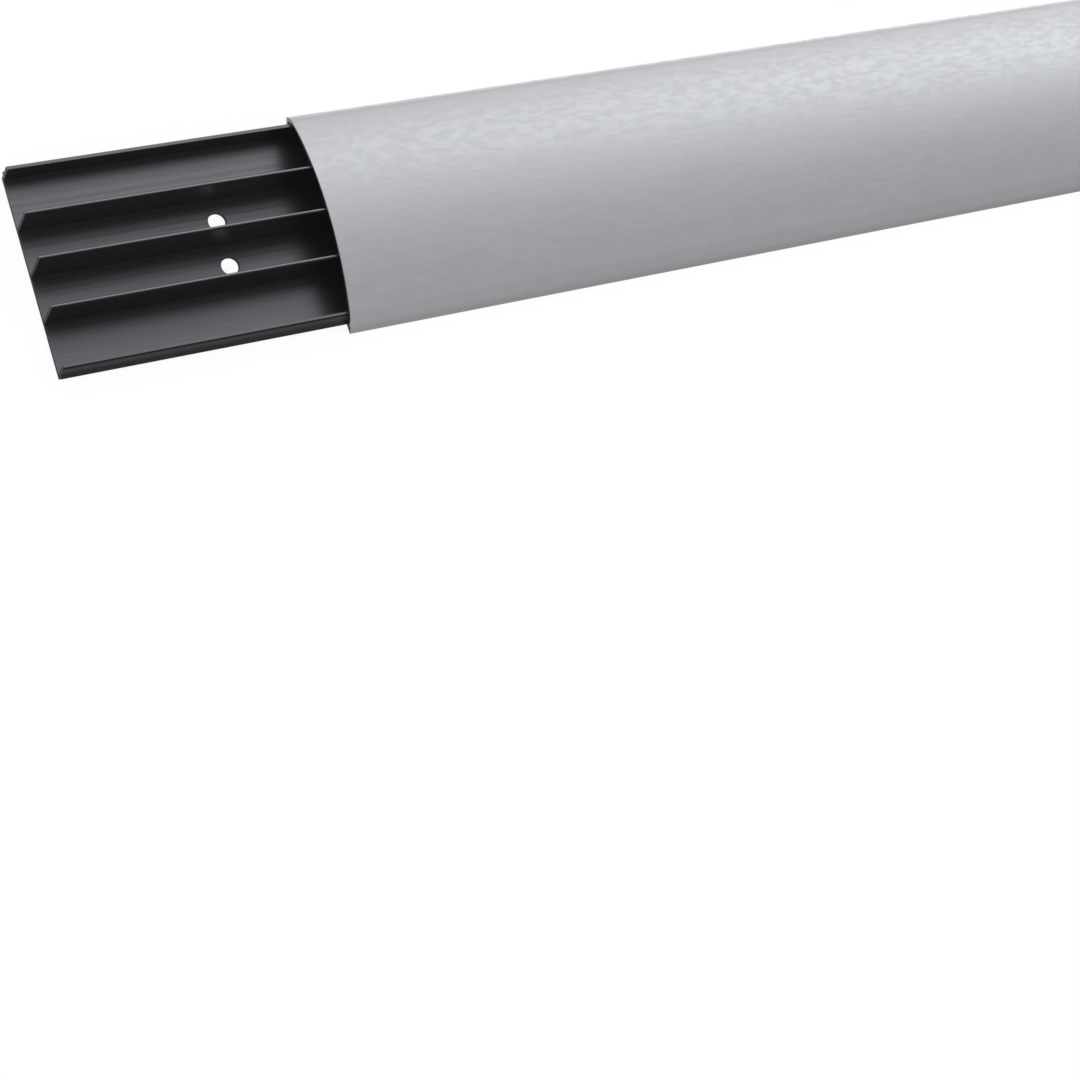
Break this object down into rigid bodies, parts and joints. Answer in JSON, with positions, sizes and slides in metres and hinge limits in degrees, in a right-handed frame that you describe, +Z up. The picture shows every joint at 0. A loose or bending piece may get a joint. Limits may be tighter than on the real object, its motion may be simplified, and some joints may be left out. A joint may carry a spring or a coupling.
{
  "type": "floor trunking",
  "caption": "Low domed floor trunking: a plastic base with cable compartments under a clip-on aluminium cover, set back at one end to show them",
  "frame": {"origin": "on the floor, under the middle of the stock length and of the width", "axes": "+X along the stock, from the end where the base shows to the closed end; +Y across it; +Z up"},
  "size_m": [2, 0.075, 0.02],
  "materials": {
    "base_plastic": "extruded black PVC with a soft sheen and faint lengthwise lines",
    "cover_metal": "satin anodised aluminium, light cool grey"
  },
  "bodies": {
    "root": {"trunking_base": "base_plastic", "trunking_cover": "cover_metal"}
  },
  "joints": []
}
